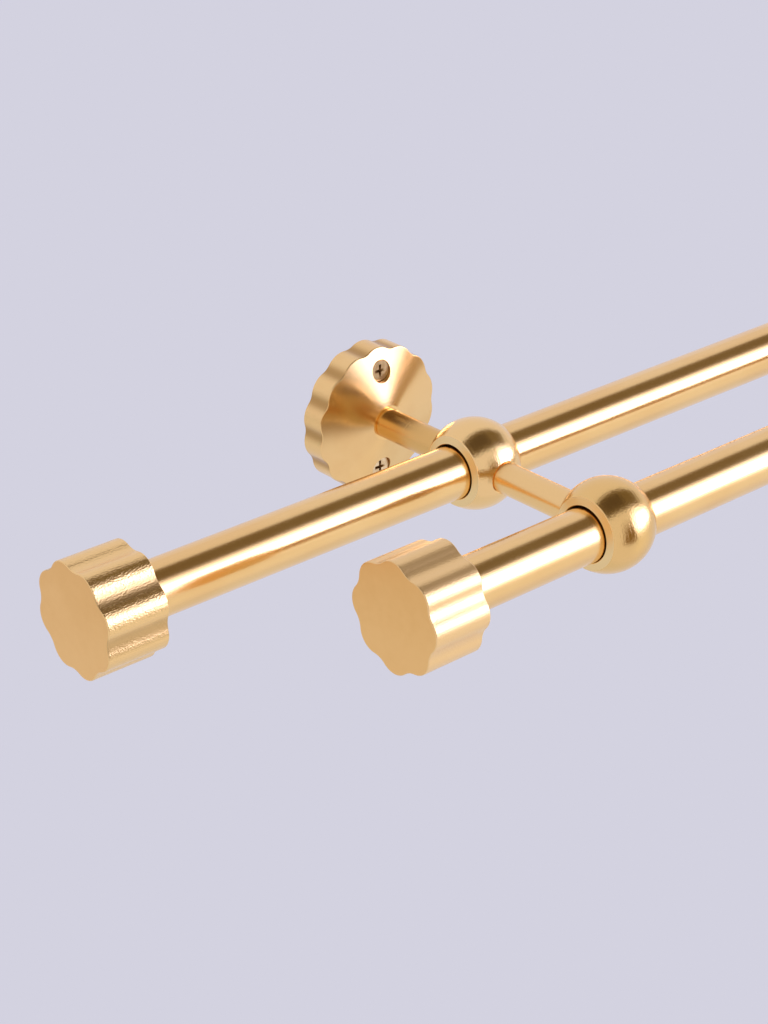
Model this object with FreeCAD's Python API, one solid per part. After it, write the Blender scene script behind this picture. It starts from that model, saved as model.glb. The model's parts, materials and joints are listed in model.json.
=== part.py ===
import FreeCAD, Part
import math
import os

os.makedirs("parts", exist_ok=True)

V = FreeCAD.Vector

# Layout in mm: X runs along the poles, the wall is the plane y = 0, the room is towards -Y, Z is up
BRACKET_SPACING = 374.0
WALL_TO_REAR = 60.0
POLE_SPACING = 63.0
REAR_OVERHANG = 167.5
FRONT_OVERHANG = 94.0

# How far a cutting shape runs past the face it cuts
OVERCUT = 1.0

# Poles: thin tube, both alike
POLE_D = 19.0
POLE_WALL = 1.0

# Bracket rings: truncated balls with the pole's bore across them and slightly conical ends
RING_RIM = 2.9
RING_WIDTH = 21.8
RING_BEVEL = 0.8
RING_EDGE = 0.6
BORE_EDGE = 0.2
BORE_CLEARANCE = 0.4
POLE_LIFT = 0.15

# Arms between plate and rings
ARM_D = 11.1
ARM_EDGE = 0.3
SEAT_CLEARANCE = 0.4
SEAT_DEPTH = 0.2
SPIGOT_D = 6.0
SPIGOT_SETBACK = 0.4

# Wall plate: scalloped disc with a low conical face
PLATE_LOBES = 14
PLATE_TURN = 90.0
PLATE_MARGIN = 4.3
PLATE_LOBE_R = 8.5
PLATE_VALLEY_R = 6.0
PLATE_CENTRE_T = 14.6
PLATE_RIM_T = 9.0
PLATE_FLAT_R = 6.6
PLATE_EDGE = 0.45

# Bolt through the plate's back into the rear arm
BOLT_D = 6.0
BOLT_HEAD_D = 10.0
BOLT_HEAD_H = 6.0
BOLT_LENGTH = 20.0
BOLT_KEY = 5.0
BOLT_KEY_DEPTH = 3.0
BOLT_HOLE_CLEARANCE = 0.3
BOLT_HEAD_CLEARANCE = 0.75
BOLT_HEAD_SETBACK = 0.5
TAPPED_SPARE = 1.5

# Countersunk wall screws with a cross recess
SCREW_SPACING = 38.1
SCREW_HEAD_D = 7.9
SCREW_HEAD_EDGE = 0.4
SCREW_SHANK_D = 3.5
SCREW_THREAD_D = 4.2
SCREW_REACH = 6.0
SCREW_POINT = 3.0
SCREW_SINK = 0.9
SCREW_HOLE_CLEARANCE = 0.3
SCREW_HEAD_CLEARANCE = 0.25
CROSS_WIDTH = 1.1
CROSS_TOP = 4.8
CROSS_FLOOR = 1.6
CROSS_DEPTH = 2.0
CROSS_TURN = 0.0

# Fluted end caps
CAP_LOBES = 8
CAP_WALL = 9.75
CAP_LOBE_R = 7.0
CAP_VALLEY_R = 7.6
CAP_LENGTH = 22.5
CAP_FACE_T = 4.0
CAP_EDGE = 0.45
CAP_CLEARANCE = 0.15
CAP_TOP_GAP = 0.02
REAR_CAP_TURN = 18.2
FRONT_CAP_TURN = 1.4

# Grub screws under the rings and caps
GRUB_D = 4.0
GRUB_KEY = 2.0
GRUB_KEY_DEPTH = 2.0
GRUB_TIP_D = 2.4
GRUB_TIP_H = 0.6
RING_GRUB_SINK = 0.55
CAP_GRUB_SINK = 1.0

POLE_R = POLE_D / 2
ARM_R = ARM_D / 2
BORE_R = POLE_R + BORE_CLEARANCE
RING_FLAT_R = BORE_R + RING_RIM
RING_R = math.hypot(RING_FLAT_R, RING_WIDTH / 2 - RING_BEVEL)
SEAT_R = ARM_R + SEAT_CLEARANCE
SEAT_AT = math.sqrt(RING_R ** 2 - SEAT_R ** 2) - SEAT_DEPTH
POLE_Z = POLE_LIFT - BORE_CLEARANCE
CAP_Z = POLE_Z - CAP_CLEARANCE + CAP_TOP_GAP
SOCKET_R = POLE_R + CAP_CLEARANCE
CAP_R = SOCKET_R + CAP_WALL
SCREW_HOLE_R = SCREW_THREAD_D / 2 + SCREW_HOLE_CLEARANCE
SCREW_SEAT_R = SCREW_HEAD_D / 2 + SCREW_HEAD_CLEARANCE
PLATE_R = SCREW_SPACING / 2 + SCREW_SEAT_R + PLATE_MARGIN
BOLT_SEAT_T = BOLT_HEAD_H + BOLT_HEAD_SETBACK
REAR_Y = -WALL_TO_REAR
FRONT_Y = REAR_Y - POLE_SPACING
BRACKETS = (("left", -BRACKET_SPACING / 2), ("right", BRACKET_SPACING / 2))


def rod(radius, start, end):
    a = V(*start)
    b = V(*end)
    return Part.makeCylinder(radius, (b - a).Length, a, b - a)


def cone(start_r, end_r, start, end):
    a = V(*start)
    b = V(*end)
    return Part.makeCone(start_r, end_r, (b - a).Length, a, b - a)


def hexagon(across, start, end):
    """Hexagonal prism between two points."""
    a = V(*start)
    b = V(*end)
    axis = b - a
    side = V(1, 0, 0) if abs(axis.x) < 1e-6 else V(0, 1, 0)
    up = axis.cross(side)
    up.normalize()
    reach = across / math.sqrt(3)
    points = []
    for k in range(7):
        turn = math.radians(60 * (k % 6))
        points.append(a + side * (reach * math.cos(turn)) + up * (reach * math.sin(turn)))
    return Part.Face(Part.makePolygon(points)).extrude(axis)


def valley_centre(lobes, radius, lobe_r, valley_r):
    """Distance from the middle to the centre of the rounding between two lobes."""
    half = math.pi / lobes
    arm = radius - lobe_r
    return arm * math.cos(half) + math.sqrt((lobe_r + valley_r) ** 2 - (arm * math.sin(half)) ** 2)


def scallop(lobes, radius, lobe_r, valley_r, turn, place):
    """Face bounded by round lobes with rounded valleys; place maps flat coordinates to space."""
    step = 2 * math.pi / lobes
    arm = radius - lobe_r
    valley_at = valley_centre(lobes, radius, lobe_r, valley_r)

    def polar(r, a):
        return place(r * math.cos(a), r * math.sin(a))

    share = lobe_r / (lobe_r + valley_r)
    meet_u = arm + (valley_at * math.cos(step / 2) - arm) * share
    meet_v = valley_at * math.sin(step / 2) * share
    meet_r = math.hypot(meet_u, meet_v)
    meet_a = math.atan2(meet_v, meet_u)
    edges = []
    for k in range(lobes):
        mid = math.radians(turn) + k * step
        lobe = Part.Arc(polar(meet_r, mid - meet_a), polar(radius, mid), polar(meet_r, mid + meet_a))
        edges.append(lobe.toShape())
        low = polar(valley_at - valley_r, mid + step / 2)
        valley = Part.Arc(polar(meet_r, mid + meet_a), low, polar(meet_r, mid + step - meet_a))
        edges.append(valley.toShape())
    return Part.Face(Part.Wire(edges))


def plate_face(r):
    """Thickness of the wall plate at a distance from its middle: flat, then a low cone."""
    slope = (PLATE_CENTRE_T - PLATE_RIM_T) / (PLATE_R - PLATE_FLAT_R)
    return PLATE_CENTRE_T - slope * max(r - PLATE_FLAT_R, 0)


SCREW_TOP_T = plate_face(SCREW_SPACING / 2) - SCREW_SINK


def wall_plate(x):
    outline = scallop(
        PLATE_LOBES, PLATE_R, PLATE_LOBE_R, PLATE_VALLEY_R, PLATE_TURN, lambda u, v: V(u, 0, v)
    )
    front = -PLATE_CENTRE_T - OVERCUT
    body = outline.extrude(V(0, front, 0))
    beyond = PLATE_R + OVERCUT
    profile = Part.makePolygon([
        V(0, 0, 0),
        V(beyond, 0, 0),
        V(beyond, -plate_face(beyond), 0),
        V(PLATE_FLAT_R, -PLATE_CENTRE_T, 0),
        V(0, -PLATE_CENTRE_T, 0),
        V(0, 0, 0),
    ])
    turned = Part.Face(profile).revolve(V(0, 0, 0), V(0, 1, 0), 360)
    body = body.common(turned)
    inside = (PLATE_FLAT_R + PLATE_R) / 2
    rim = []
    for edge in body.Edges:
        outer = all(math.hypot(v.X, v.Z) > inside for v in edge.Vertexes)
        if outer and edge.BoundBox.YMax < -plate_face(PLATE_R) / 2:
            rim.append(edge)
    body = body.makeFillet(PLATE_EDGE, rim)
    seat_t = SCREW_TOP_T - SCREW_HEAD_EDGE + SCREW_HEAD_CLEARANCE
    for z in (SCREW_SPACING / 2, -SCREW_SPACING / 2):
        body = body.cut(rod(SCREW_HOLE_R, (0, OVERCUT, z), (0, front, z)))
        neck = (0, -seat_t + SCREW_SEAT_R - SCREW_HOLE_R, z)
        body = body.cut(cone(SCREW_HOLE_R, SCREW_SEAT_R, neck, (0, -seat_t, z)))
        body = body.cut(rod(SCREW_SEAT_R, (0, -seat_t, z), (0, front, z)))
    body = body.cut(rod(BOLT_D / 2 + BOLT_HOLE_CLEARANCE, (0, OVERCUT, 0), (0, front, 0)))
    pocket_r = BOLT_HEAD_D / 2 + BOLT_HEAD_CLEARANCE
    body = body.cut(rod(pocket_r, (0, OVERCUT, 0), (0, -BOLT_SEAT_T, 0)))
    body.translate(V(x, 0, 0))
    return body


def wall_screw(x, z):
    head_r = SCREW_HEAD_D / 2
    shank_r = SCREW_SHANK_D / 2
    thread_r = SCREW_THREAD_D / 2
    edge_t = SCREW_TOP_T - SCREW_HEAD_EDGE
    neck_t = edge_t - head_r + shank_r
    body = rod(head_r, (x, -edge_t, z), (x, -SCREW_TOP_T, z))
    body = body.fuse(cone(shank_r, head_r, (x, -neck_t, z), (x, -edge_t, z)))
    body = body.fuse(rod(shank_r, (x, 0, z), (x, -neck_t, z)))
    body = body.fuse(rod(thread_r, (x, 0, z), (x, SCREW_REACH - SCREW_POINT, z)))
    body = body.fuse(cone(thread_r, 0, (x, SCREW_REACH - SCREW_POINT, z), (x, SCREW_REACH, z)))
    for turn in (CROSS_TURN, CROSS_TURN + 90):
        wedge = [
            V(-CROSS_TOP / 2, 0, 0),
            V(CROSS_TOP / 2, 0, 0),
            V(CROSS_FLOOR / 2, CROSS_DEPTH, 0),
            V(-CROSS_FLOOR / 2, CROSS_DEPTH, 0),
            V(-CROSS_TOP / 2, 0, 0),
        ]
        slot = Part.Face(Part.makePolygon(wedge)).extrude(V(0, 0, CROSS_WIDTH))
        slot.translate(V(0, 0, -CROSS_WIDTH / 2))
        slot.rotate(V(0, 0, 0), V(0, 1, 0), turn)
        slot.translate(V(x, -SCREW_TOP_T, z))
        body = body.cut(slot)
    return body.removeSplitter()


def plate_bolt(x):
    body = rod(BOLT_HEAD_D / 2, (x, -BOLT_HEAD_SETBACK, 0), (x, -BOLT_SEAT_T, 0))
    body = body.fuse(rod(BOLT_D / 2, (x, -BOLT_SEAT_T, 0), (x, -BOLT_SEAT_T - BOLT_LENGTH, 0)))
    key = hexagon(BOLT_KEY, (x, -BOLT_HEAD_SETBACK, 0), (x, -BOLT_HEAD_SETBACK - BOLT_KEY_DEPTH, 0))
    return body.cut(key).removeSplitter()


def round_arm(x, y_back, y_front):
    body = rod(ARM_R, (x, y_back, 0), (x, y_front, 0))
    ends = [e for e in body.Edges if e.Curve.TypeId == "Part::GeomCircle"]
    return body.makeChamfer(ARM_EDGE, ends)


def rear_arm(x):
    y_front = REAR_Y + SEAT_AT
    body = round_arm(x, -PLATE_CENTRE_T, y_front)
    tap_t = BOLT_SEAT_T + BOLT_LENGTH + TAPPED_SPARE
    body = body.cut(rod(BOLT_D / 2, (x, -PLATE_CENTRE_T, 0), (x, -tap_t, 0)))
    tip = REAR_Y + BORE_R + SPIGOT_SETBACK
    return body.fuse(rod(SPIGOT_D / 2, (x, y_front, 0), (x, tip, 0))).removeSplitter()


def front_arm(x):
    y_back = REAR_Y - SEAT_AT
    y_front = FRONT_Y + SEAT_AT
    body = round_arm(x, y_back, y_front)
    body = body.fuse(rod(SPIGOT_D / 2, (x, y_back, 0), (x, REAR_Y - BORE_R - SPIGOT_SETBACK, 0)))
    body = body.fuse(rod(SPIGOT_D / 2, (x, y_front, 0), (x, FRONT_Y + BORE_R + SPIGOT_SETBACK, 0)))
    return body.removeSplitter()


def flat_circles(body, radius):
    """Circular edges of the given radius that lie square to the pole."""
    flat = [e for e in body.Edges if e.BoundBox.XLength < 1e-3]
    circles = [e for e in flat if e.Curve.TypeId == "Part::GeomCircle"]
    return [e for e in circles if abs(e.Curve.Radius - radius) < 1e-6]


def ring(x, y, arm_sides):
    half = RING_WIDTH / 2
    shoulder = half - RING_BEVEL
    profile = [
        Part.makeLine(V(-half, BORE_R, 0), V(-shoulder, RING_FLAT_R, 0)),
        Part.Arc(V(-shoulder, RING_FLAT_R, 0), V(0, RING_R, 0), V(shoulder, RING_FLAT_R, 0)).toShape(),
        Part.makeLine(V(shoulder, RING_FLAT_R, 0), V(half, BORE_R, 0)),
        Part.makeLine(V(half, BORE_R, 0), V(-half, BORE_R, 0)),
    ]
    body = Part.Face(Part.Wire(profile)).revolve(V(0, 0, 0), V(1, 0, 0), 360)
    body = body.makeFillet(RING_EDGE, flat_circles(body, RING_FLAT_R))
    body = body.makeChamfer(BORE_EDGE, flat_circles(body, BORE_R))
    for side in arm_sides:
        body = body.cut(rod(SEAT_R, (0, side * SEAT_AT, 0), (0, side * 2 * RING_R, 0)))
        body = body.cut(rod(SPIGOT_D / 2, (0, side * POLE_R / 2, 0), (0, side * 2 * RING_R, 0)))
    body = body.cut(rod(GRUB_D / 2, (0, 0, 0), (0, 0, -2 * RING_R)))
    body.translate(V(x, y, 0))
    return body


def pole(y, half_length):
    body = rod(POLE_R, (-half_length, y, POLE_Z), (half_length, y, POLE_Z))
    return body.cut(rod(POLE_R - POLE_WALL, (-half_length, y, POLE_Z), (half_length, y, POLE_Z)))


def end_cap(x_face, inward, y, turn):
    outline = scallop(
        CAP_LOBES, CAP_R, CAP_LOBE_R, CAP_VALLEY_R, turn, lambda u, v: V(x_face, y - u, CAP_Z + v)
    )
    body = outline.extrude(V(inward * CAP_LENGTH, 0, 0))
    rims = [e for e in body.Edges if e.BoundBox.XLength < 1e-3]
    body = body.makeFillet(CAP_EDGE, rims)
    floor = x_face + inward * CAP_FACE_T
    back = x_face + inward * (CAP_LENGTH + OVERCUT)
    body = body.cut(rod(SOCKET_R, (floor, y, CAP_Z), (back, y, CAP_Z)))
    grub_x = x_face + inward * (CAP_FACE_T + CAP_LENGTH) / 2
    return body.cut(rod(GRUB_D / 2, (grub_x, y, CAP_Z), (grub_x, y, CAP_Z - CAP_R - OVERCUT)))


def grub(x, y, end):
    top = POLE_Z - POLE_R
    shoulder = top - GRUB_TIP_H
    body = rod(GRUB_D / 2, (x, y, end), (x, y, shoulder))
    body = body.fuse(cone(GRUB_D / 2, GRUB_TIP_D / 2, (x, y, shoulder), (x, y, top)))
    return body.cut(hexagon(GRUB_KEY, (x, y, end), (x, y, end + GRUB_KEY_DEPTH))).removeSplitter()


nodes = {}
wall_screws = []
plate_bolts = []
ring_grubs = []
cap_grubs = []
rear_end = BRACKET_SPACING / 2 + REAR_OVERHANG
front_end = BRACKET_SPACING / 2 + FRONT_OVERHANG
cap_valley_r = valley_centre(CAP_LOBES, CAP_R, CAP_LOBE_R, CAP_VALLEY_R) - CAP_VALLEY_R
ring_grub_end = RING_GRUB_SINK - RING_R
cap_grub_end = CAP_Z + CAP_GRUB_SINK - cap_valley_r

for name, x in BRACKETS:
    nodes[name + "_wall_plate"] = wall_plate(x)
    nodes[name + "_rear_arm"] = rear_arm(x)
    nodes[name + "_rear_ring"] = ring(x, REAR_Y, (1, -1))
    nodes[name + "_front_arm"] = front_arm(x)
    nodes[name + "_front_ring"] = ring(x, FRONT_Y, (1,))
    wall_screws.append(wall_screw(x, SCREW_SPACING / 2))
    wall_screws.append(wall_screw(x, -SCREW_SPACING / 2))
    plate_bolts.append(plate_bolt(x))
    ring_grubs.append(grub(x, REAR_Y, ring_grub_end))
    ring_grubs.append(grub(x, FRONT_Y, ring_grub_end))
    out = math.copysign(1, x)
    caps = (("rear", rear_end, REAR_Y, REAR_CAP_TURN), ("front", front_end, FRONT_Y, FRONT_CAP_TURN))
    for row, end, y, turn in caps:
        nodes[name + "_" + row + "_cap"] = end_cap(out * end, -out, y, turn)
        cap_grubs.append(grub(out * (end - (CAP_FACE_T + CAP_LENGTH) / 2), y, cap_grub_end))

nodes["rear_pole"] = pole(REAR_Y, rear_end - CAP_FACE_T)
nodes["front_pole"] = pole(FRONT_Y, front_end - CAP_FACE_T)
nodes["wall_screws"] = Part.makeCompound(wall_screws)
nodes["plate_bolts"] = Part.makeCompound(plate_bolts)
nodes["ring_grubs"] = Part.makeCompound(ring_grubs)
nodes["cap_grubs"] = Part.makeCompound(cap_grubs)

for name, shape in nodes.items():
    shape.exportStep("parts/" + name + ".step")
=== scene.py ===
import json
import math

import bpy
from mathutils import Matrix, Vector


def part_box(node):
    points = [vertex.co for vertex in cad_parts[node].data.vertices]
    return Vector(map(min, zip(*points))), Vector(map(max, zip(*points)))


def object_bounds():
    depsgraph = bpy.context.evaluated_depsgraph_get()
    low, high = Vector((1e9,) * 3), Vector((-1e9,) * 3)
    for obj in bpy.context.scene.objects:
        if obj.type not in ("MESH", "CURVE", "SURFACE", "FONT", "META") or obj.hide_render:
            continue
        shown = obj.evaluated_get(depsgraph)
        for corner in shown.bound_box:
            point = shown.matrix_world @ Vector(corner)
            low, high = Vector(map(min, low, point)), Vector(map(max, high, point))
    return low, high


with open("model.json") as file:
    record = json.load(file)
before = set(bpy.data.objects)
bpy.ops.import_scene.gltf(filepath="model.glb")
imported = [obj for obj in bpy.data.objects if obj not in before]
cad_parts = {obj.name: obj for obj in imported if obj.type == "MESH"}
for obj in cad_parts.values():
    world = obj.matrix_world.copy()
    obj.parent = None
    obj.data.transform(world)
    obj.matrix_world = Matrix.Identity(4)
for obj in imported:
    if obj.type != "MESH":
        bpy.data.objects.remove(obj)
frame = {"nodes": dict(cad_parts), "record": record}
cad_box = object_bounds()

# Where the camera stands from the left bracket's rear ring, in metres, and how it is turned
CAMERA_FROM_RING = Vector((-0.4802, -0.4954, 0.3270))
CAMERA_TURN = math.radians(-41.495)
CAMERA_DOWN = math.radians(26.666)
CAMERA_LENS = 77.11

# Floor and backdrop, with lengths in metres
BACKDROP = (0.672, 0.665, 0.761, 1.0)
BACKDROP_FAR = (0.651, 0.645, 0.745, 1.0)
FLOOR_DROP = 0.45
FLOOR_FRONT = 0.15
FLOOR_BACK = 14.0
FLOOR_HALF_WIDTH = 14.0
FLOOR_EVEN = 0.92
FLOOR_SHEEN = 0.14

# The room's light by direction. A zone has its colour, the angles round the poles where it begins and
# ends, in degrees from straight ahead and upwards, and the sideways parts where it begins and ends.
# Each pair of numbers is one soft edge, and a later zone covers an earlier one.
ROOM_LIGHT = (0.79, 0.76, 0.90, 1.0)
CEILING = ((0.180, 0.135, 0.085, 1.0), (44.0, 56.0), (98.0, 105.0), (-0.80, -0.55), (0.80, 0.96))
DEEP_CEILING = ((0.105, 0.075, 0.050, 1.0), (52.0, 66.0), (88.0, 99.0), (-0.60, -0.30), (0.34, 0.48))
LOW_LIGHT = ((0.87, 0.84, 0.93, 1.0), (-68.0, -44.0), (-20.0, 10.0), (0.30, 0.50), (0.74, 0.90))
CORNER = ((0.22, 0.13, 0.04, 1.0), (-30.0, -17.0), (0.0, 36.0), (-0.20, 0.04), (0.32, 0.48))
WINDOW = ((3.4, 3.5, 5.4, 1.0), (-27.0, 41.0), (14.0, 61.0), (0.30, 0.62), (0.90, 0.99))
LAMP = ((4.6, 4.7, 7.6, 1.0), (-10.0, 8.0), (24.0, 40.0), (0.30, 0.62), (0.90, 0.99))
ROOM_ZONES = (CEILING, DEEP_CEILING, LOW_LIGHT, CORNER, WINDOW, LAMP)

# Brass and steel tones, linear
GOLD = (0.98, 0.67, 0.275, 1.0)
GOLD_DEEP = (0.95, 0.625, 0.245, 1.0)
# Painted shade in the plate's flute hollows
PLATE_HOLLOW_SHADE = (0.50, 0.29, 0.09, 1.0)
# Painted highlight on the rings' end flats
RIM_HIGHLIGHT = (0.97, 0.72, 0.325, 1.0)
# Painted shade on the front row's rings
FRONT_RING_SHADE = (0.91, 0.60, 0.215, 1.0)
# Painted shade on the poles' and rings' sides towards the wall
WALL_SIDE_SHADE = (0.52, 0.34, 0.12, 1.0)
ARM_GOLD = (0.97, 0.655, 0.265, 1.0)
# Painted shade on the arms nearer the wall
REAR_ARM_SHADE = (0.82, 0.51, 0.165, 1.0)
CAP_GOLD = (0.98, 0.605, 0.215, 1.0)
CAP_DEEP = (0.92, 0.54, 0.175, 1.0)
# Painted shade in the rear caps' flute hollows and low upward-facing parts
CAP_HOLLOW_SHADE = (0.42, 0.25, 0.08, 1.0)
SCREW_GOLD = (0.93, 0.73, 0.42, 1.0)
SCREW_DEEP = (0.74, 0.54, 0.28, 1.0)
SCREW_SHADOW = (0.40, 0.27, 0.13, 1.0)
STEEL_PALE = (0.58, 0.57, 0.55, 1.0)
STEEL_DEEP = (0.44, 0.43, 0.42, 1.0)

# Depth of each finish's relief, in metres
POLE_RELIEF = 0.000030
RING_RELIEF = 0.00012
ARM_RELIEF = 0.000012
PLATE_RELIEF = 0.000012
CAP_RELIEF = 0.00017
SCREW_RELIEF = 0.00003
STEEL_RELIEF = 0.000012

# Soft edges by the part of the surface's direction that points along an axis; the wall sides take painted
# shade, the ring ends a painted highlight and the caps' low upward-facing parts painted shade
POLE_WALL_SIDE = (0.50, 0.85)
RING_WALL_SIDE = (0.45, 0.80)
RING_END = (0.90, 0.96)
PLATE_FACE = (0.75, 0.95)
PLATE_NOT_SIDE = (0.50, 0.75)
CAP_FACE = (0.90, 0.99)
CAP_LEDGE = (-0.10, 0.20)

# Soft edges by distance out from the wall, where the front row's tones begin, in metres; these tones are
# painted shade on the front rings and on the rear arms and rear caps
FRONT_RINGS = (0.095, 0.125)
FRONT_ARMS = (0.065, 0.095)
FRONT_CAPS = (0.085, 0.095)

# Soft edges by distance from a plate's or cap's axis, by height and by depth in a screw's head, in metres;
# the plate's and caps' hollows and the screw's cross take painted shade there
PLATE_LOBES = (0.0262, 0.0275)
CAP_LOBES = (0.0180, 0.0190)
CAP_HOLLOWS_FROM = (-0.008, -0.004)
CAP_HOLLOWS_TO = (0.0135, 0.0160)
CAP_ABOVE_LEDGE = (-0.008, -0.003)
CAP_FACE_PALER = (0.01, 0.06)
RECESS_FROM = (0.0002, 0.0008)
RECESS_TO = (0.0045, 0.0060)


def middle(node):
    low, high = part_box(node)
    return (low + high) / 2


class Shade:
    """One value in a shader tree; arithmetic on it adds Math nodes."""

    def __init__(self, finish, socket):
        self.finish = finish
        self.socket = socket

    def combine(self, operation, *values):
        return self.finish.node("ShaderNodeMath", {"operation": operation}, dict(enumerate(values)))

    def __add__(self, other):
        return self.combine("ADD", self, other)

    def __radd__(self, other):
        return self.combine("ADD", other, self)

    def __sub__(self, other):
        return self.combine("SUBTRACT", self, other)

    def __rsub__(self, other):
        return self.combine("SUBTRACT", other, self)

    def __mul__(self, other):
        return self.combine("MULTIPLY", self, other)

    def __rmul__(self, other):
        return self.combine("MULTIPLY", other, self)

    def __abs__(self):
        return self.combine("ABSOLUTE", self)


class Finish:
    """A shader tree that is being built."""

    def __init__(self, tree):
        self.tree = tree
        tree.nodes.clear()

    def node(self, kind, settings, values, output=0):
        made = self.tree.nodes.new(kind)
        for name, setting in settings.items():
            setattr(made, name, setting)
        for name, value in values.items():
            if isinstance(value, Shade):
                self.tree.links.new(value.socket, made.inputs[name])
            else:
                made.inputs[name].default_value = value
        return Shade(self, made.outputs[output]) if made.outputs else None

    def point(self):
        return self.node("ShaderNodeTexCoord", {}, {}, "Object")

    def axes(self, vector):
        names = ("X", "Y", "Z")
        return [self.node("ShaderNodeSeparateXYZ", {}, {"Vector": vector}, name) for name in names]

    def facing(self):
        """The three parts of the surface's direction."""
        return self.axes(self.node("ShaderNodeNewGeometry", {}, {}, "True Normal"))

    def reach(self, across, up):
        """How far a point is from an axis."""
        flat = self.node("ShaderNodeCombineXYZ", {}, {"X": across, "Y": up})
        return self.node("ShaderNodeVectorMath", {"operation": "LENGTH"}, {0: flat}, "Value")

    def noise(self, vector, per_metre, detail):
        """Noise from 0 to 1, with its grains per metre along each axis."""
        scaled = self.node("ShaderNodeVectorMath", {"operation": "MULTIPLY"}, {0: vector, 1: per_metre})
        values = {"Vector": scaled, "Scale": 1.0, "Detail": detail, "Roughness": 0.5}
        return self.node("ShaderNodeTexNoise", {}, values, "Fac")

    def rise(self, value, low, high):
        settings = {"interpolation_type": "SMOOTHSTEP"}
        return self.node("ShaderNodeMapRange", settings, {"Value": value, "From Min": low, "From Max": high})

    def between(self, value, start, end):
        """1 from the start range to the end range, with soft edges as wide as the ranges."""
        return self.rise(value, *start) * (1.0 - self.rise(value, *end))

    def tones(self, share, first, second):
        settings = {"data_type": "RGBA"}
        return self.node("ShaderNodeMix", settings, {0: share, 6: first, 7: second}, 2)

    def metal(self, colour, roughness, height, depth, bare=1.0):
        """Metal whose relief is height times depth in metres; bare is 1 where no lacquer dulls it."""
        normal = self.node("ShaderNodeBump", {}, {"Strength": 1.0, "Distance": depth, "Height": height})
        values = {"Base Color": colour, "Metallic": bare, "Roughness": roughness, "Normal": normal}
        shader = self.node("ShaderNodeBsdfPrincipled", {}, values)
        self.node("ShaderNodeOutputMaterial", {}, {"Surface": shader})


def new_material(name):
    material = bpy.data.materials.new(name)
    material.use_nodes = True
    return material, Finish(material.node_tree)


def pole_brass():
    """Drawn tube: faint lines along the pole under a smooth satin, with painted shade on its side towards
    the wall.
    """
    material, finish = new_material("pole_satin_brass")
    point = finish.point()
    inwards = finish.facing()[1]
    drawn = finish.noise(point, (25.0, 3000.0, 3000.0), 3.0)
    grain = finish.noise(point, (2600.0, 2600.0, 2600.0), 2.0)
    cloud = finish.noise(point, (30.0, 60.0, 60.0), 3.0)
    colour = finish.tones(finish.rise(cloud, 0.35, 0.65), GOLD_DEEP, GOLD)
    # Painted shade on the side towards the wall
    colour = finish.tones(finish.rise(inwards, *POLE_WALL_SIDE), colour, WALL_SIDE_SHADE)
    roughness = 0.15 + 0.05 * cloud + 0.04 * drawn
    finish.metal(colour, roughness, 0.3 * drawn + 0.7 * grain, POLE_RELIEF)
    return material


def ring_brass():
    """Turned ball: fine lines round the bore, rubbed to a soft satin, with a painted highlight on its end
    flats, painted shade towards the wall and deeper painted shade on the front row.
    """
    material, finish = new_material("ring_satin_brass")
    point = finish.point()
    along, inwards = finish.facing()[:2]
    outwards = -1.0 * finish.axes(point)[1]
    rim = finish.rise(abs(along), *RING_END)
    lines = finish.noise(point, (1500.0, 120.0, 120.0), 3.0)
    grain = finish.noise(point, (1700.0, 1700.0, 1700.0), 2.0)
    cloud = finish.noise(point, (90.0, 90.0, 90.0), 3.0)
    # Painted shade on the front row's rings
    colour = finish.tones(finish.rise(outwards + 0.03 * cloud, *FRONT_RINGS), GOLD, FRONT_RING_SHADE)
    # Painted shade on the side towards the wall
    colour = finish.tones(finish.rise(inwards, *RING_WALL_SIDE), colour, WALL_SIDE_SHADE)
    # Painted highlight on the end flats round the bore
    colour = finish.tones(rim, colour, RIM_HIGHLIGHT)
    roughness = 0.12 + 0.04 * cloud + 0.04 * lines + 0.18 * rim
    finish.metal(colour, roughness, 0.6 * lines + 0.4 * grain, RING_RELIEF)
    return material


def arm_brass():
    """Turned rod: fine lines round the arm, with painted shade on the parts behind the rear pole, nearer the
    wall.
    """
    material, finish = new_material("arm_satin_brass")
    point = finish.point()
    outwards = -1.0 * finish.axes(point)[1]
    lines = finish.noise(point, (120.0, 3600.0, 120.0), 3.0)
    grain = finish.noise(point, (2200.0, 2200.0, 2200.0), 2.0)
    cloud = finish.noise(point, (110.0, 110.0, 110.0), 3.0)
    # Painted shade on the arms nearer the wall
    colour = finish.tones(finish.rise(outwards + 0.03 * cloud, *FRONT_ARMS), REAR_ARM_SHADE, ARM_GOLD)
    roughness = 0.20 + 0.06 * cloud + 0.05 * lines
    finish.metal(colour, roughness, 0.6 * lines + 0.4 * grain, ARM_RELIEF)
    return material


def plate_brass():
    """Wall plate: turned rings on the face that spread light in fans, satin flutes round the side with
    painted shade in their hollows.
    """
    material, finish = new_material("plate_turned_brass")
    point = finish.point()
    x, _, z = finish.axes(point)
    inwards = finish.facing()[1]
    from_axis = finish.reach(abs(x) - abs(middle("left_wall_plate").x), z)
    along_radius = finish.node("ShaderNodeCombineXYZ", {}, {"X": from_axis})
    turned = finish.noise(along_radius, (3300.0, 0.0, 0.0), 1.0) - 0.5
    grain = finish.noise(point, (2000.0, 2000.0, 2000.0), 2.0)
    cloud = finish.noise(point, (70.0, 70.0, 70.0), 3.0)
    face = finish.rise(-1.0 * inwards, *PLATE_FACE)
    side = 1.0 - finish.rise(abs(inwards), *PLATE_NOT_SIDE)
    # Painted shade in the hollows between the flutes
    hollow_shade = side * (1.0 - finish.rise(from_axis, *PLATE_LOBES))
    colour = finish.tones(finish.rise(cloud, 0.35, 0.65), GOLD_DEEP, GOLD)
    colour = finish.tones(hollow_shade, colour, PLATE_HOLLOW_SHADE)
    roughness = 0.24 + 0.05 * cloud - 0.09 * face
    finish.metal(colour, roughness, face * turned + 0.25 * grain, PLATE_RELIEF)
    return material


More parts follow.
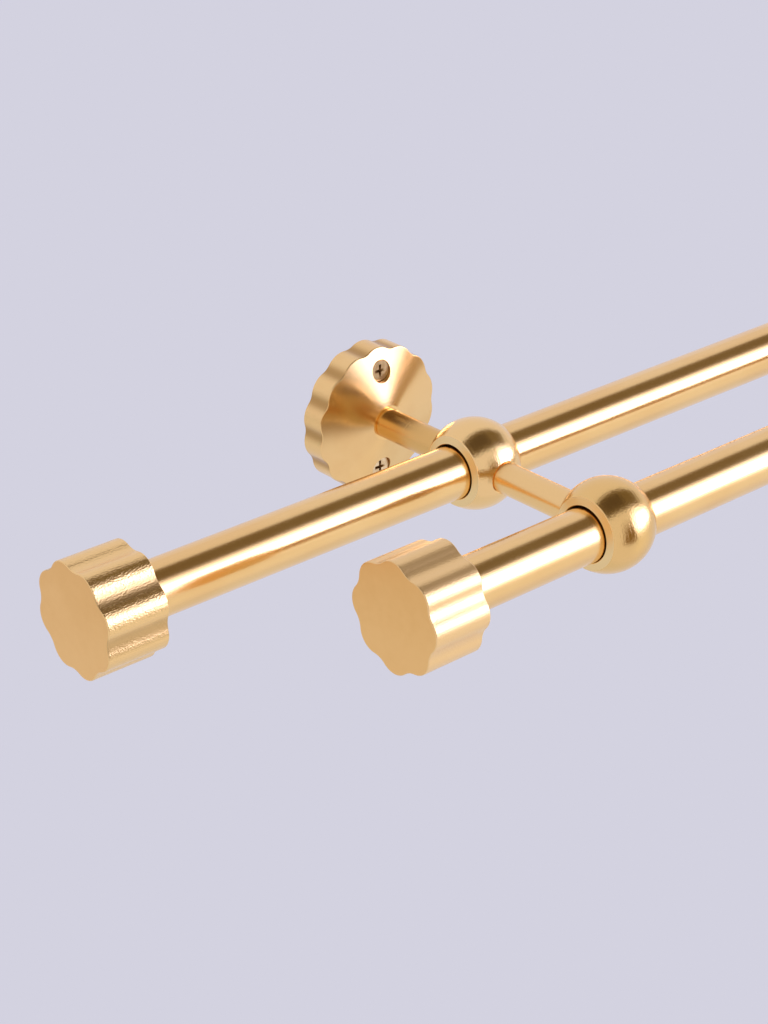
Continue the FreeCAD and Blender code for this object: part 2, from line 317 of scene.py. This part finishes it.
def cap_brass():
    """End cap: flat satin face and grainy flutes.

    The front row's flutes are smoother and paler, and the rear row's are rougher in their hollows and on
    their low upward-facing parts, where they also get painted shade.
    """
    material, finish = new_material("cap_fluted_brass")
    point = finish.point()
    along, _, upwards = finish.facing()
    _, y, height = finish.axes(point)
    outwards = -1.0 * y
    rear_axis, front_axis = middle("left_rear_cap"), middle("left_front_cap")
    face = finish.rise(abs(along), *CAP_FACE)
    flutes = 1.0 - face
    front = finish.rise(outwards, *FRONT_CAPS)
    grain = finish.noise(point, (1500.0, 2000.0, 2000.0), 2.0) - 0.5
    lines = finish.noise(point, (60.0, 2200.0, 2200.0), 2.0) - 0.5
    cloud = finish.noise(point, (60.0, 60.0, 60.0), 3.0)
    mottle = finish.noise(point, (300.0, 300.0, 300.0), 3.0)
    across = outwards + rear_axis.y - (rear_axis.y - front_axis.y) * front
    from_axis = finish.reach(across, height - rear_axis.z)
    # Painted shade in the rear caps' flute hollows and on their low upward-facing parts, which are also made
    # rougher
    hollow_shade = 1.0 - finish.rise(from_axis + 0.0006 * mottle, *CAP_LOBES)
    hollow_shade = hollow_shade * finish.between(height, CAP_HOLLOWS_FROM, CAP_HOLLOWS_TO)
    ledge = finish.rise(upwards, *CAP_LEDGE) * (1.0 - finish.rise(height, *CAP_ABOVE_LEDGE))
    shaded_and_dulled = (0.45 * hollow_shade + 0.75 * ledge) * (1.0 - front) * flutes
    paler = finish.rise(0.04 * cloud + 0.03 * mottle - height, *CAP_FACE_PALER)
    colour = finish.tones(shaded_and_dulled, GOLD, CAP_HOLLOW_SHADE)
    colour = finish.tones(face, colour, finish.tones(paler, CAP_DEEP, CAP_GOLD))
    roughness = 0.19 + 0.05 * mottle + 0.12 * face + 0.08 * front * flutes + 0.20 * shaded_and_dulled
    relief = (1.0 - 0.9 * face) * (1.0 - 0.5 * front) * (0.7 * grain + 0.3 * lines)
    finish.metal(colour, roughness, relief, CAP_RELIEF, 1.0 - 0.25 * front * flutes)
    return material


def screw_brass():
    """Wall screws: plated brass, dulled by handling, darker in the cross."""
    material, finish = new_material("screw_plated_brass")
    point = finish.point()
    depth = finish.axes(point)[1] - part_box("wall_screws")[0].y
    grain = finish.noise(point, (1500.0, 1500.0, 1500.0), 3.0)
    cloud = finish.noise(point, (400.0, 400.0, 400.0), 3.0)
    colour = finish.tones(finish.rise(cloud, 0.3, 0.7), SCREW_DEEP, SCREW_GOLD)
    colour = finish.tones(finish.between(depth, RECESS_FROM, RECESS_TO), colour, SCREW_SHADOW)
    finish.metal(colour, 0.24 + 0.16 * cloud, grain, SCREW_RELIEF)
    return material


def screw_steel():
    """Bolts and grub screws: grey zinc plating."""
    material, finish = new_material("screw_zinc_steel")
    point = finish.point()
    grain = finish.noise(point, (1800.0, 1800.0, 1800.0), 3.0)
    cloud = finish.noise(point, (350.0, 350.0, 350.0), 3.0)
    colour = finish.tones(finish.rise(cloud, 0.3, 0.7), STEEL_DEEP, STEEL_PALE)
    finish.metal(colour, 0.30 + 0.15 * cloud, grain, STEEL_RELIEF)
    return material


def dress_nodes():
    """Gives each solid the finish of its slot in the record."""
    made = {
        "pole_brass": pole_brass(),
        "ring_brass": ring_brass(),
        "arm_brass": arm_brass(),
        "plate_brass": plate_brass(),
        "cap_brass": cap_brass(),
        "screw_brass": screw_brass(),
        "screw_steel": screw_steel(),
    }
    for part in frame["record"]["subparts"]:
        node = frame["nodes"][part["node"]]
        for slot in node.material_slots:
            slot.material = made[part["material_slot"]]


def light_path(finish, kind):
    return finish.node("ShaderNodeLightPath", {}, {}, kind)


def seen_directly(finish):
    """1 for what the camera sees itself, mirrored or through glass."""
    sight = light_path(finish, "Is Camera Ray")
    for kind in ("Is Glossy Ray", "Is Transmission Ray"):
        sight = sight.combine("MAXIMUM", sight, light_path(finish, kind))
    return sight


def add_floor():
    """Pale floor from a little before the object to far behind it."""
    bpy.ops.object.select_all(action="DESELECT")
    height = cad_box[0].z - FLOOR_DROP
    front = cad_box[0].y - FLOOR_FRONT
    bpy.ops.mesh.primitive_plane_add(size=2.0, location=(0.0, (front + FLOOR_BACK) / 2, height))
    floor = bpy.context.object
    floor.name = "pale_floor"
    floor.scale = (FLOOR_HALF_WIDTH, (FLOOR_BACK - front) / 2, 1.0)
    material, finish = new_material("pale_floor")
    diffuse = finish.node("ShaderNodeBsdfDiffuse", {}, {"Color": BACKDROP})
    strength = 1.0 + FLOOR_SHEEN * light_path(finish, "Is Glossy Ray")
    even = finish.node("ShaderNodeEmission", {}, {"Color": BACKDROP, "Strength": strength})
    share = FLOOR_EVEN * seen_directly(finish)
    surface = finish.node("ShaderNodeMixShader", {}, {0: share, 1: diffuse, 2: even})
    finish.node("ShaderNodeOutputMaterial", {}, {"Surface": surface})
    floor.data.materials.append(material)


def add_room():
    """Pale room with a dark ceiling over the poles and a wide white window before them.

    The ceiling is deepest in its middle and the window has a brighter core, with a dark corner beside it
    and light below it. The camera sees only the backdrop's colour.
    """
    world = bpy.data.worlds.new("room")
    bpy.context.scene.world = world
    world.use_nodes = True
    finish = Finish(world.node_tree)
    x, y, z = finish.axes(finish.node("ShaderNodeTexCoord", {}, {}, "Generated"))
    turn = z.combine("ARCTAN2", z, -1.0 * y) * math.degrees(1.0)
    room = ROOM_LIGHT
    for colour, start, end, left, right in ROOM_ZONES:
        share = finish.between(turn, start, end) * finish.between(x, left, right)
        room = finish.tones(share, room, colour)
    colour = finish.tones(light_path(finish, "Is Camera Ray"), room, BACKDROP_FAR)
    background = finish.node("ShaderNodeBackground", {}, {"Color": colour, "Strength": 1.0})
    finish.node("ShaderNodeOutputWorld", {}, {"Surface": background})


def add_camera():
    lens = bpy.data.cameras.new("camera")
    lens.lens = CAMERA_LENS
    camera = bpy.data.objects.new("camera", lens)
    camera.location = middle("left_rear_ring") + CAMERA_FROM_RING
    camera.rotation_euler = (math.pi / 2 - CAMERA_DOWN, 0.0, CAMERA_TURN)
    bpy.context.scene.collection.objects.link(camera)
    bpy.context.scene.camera = camera


dress_nodes()
add_floor()
add_room()
add_camera()
bpy.context.scene.view_settings.view_transform = "Standard"
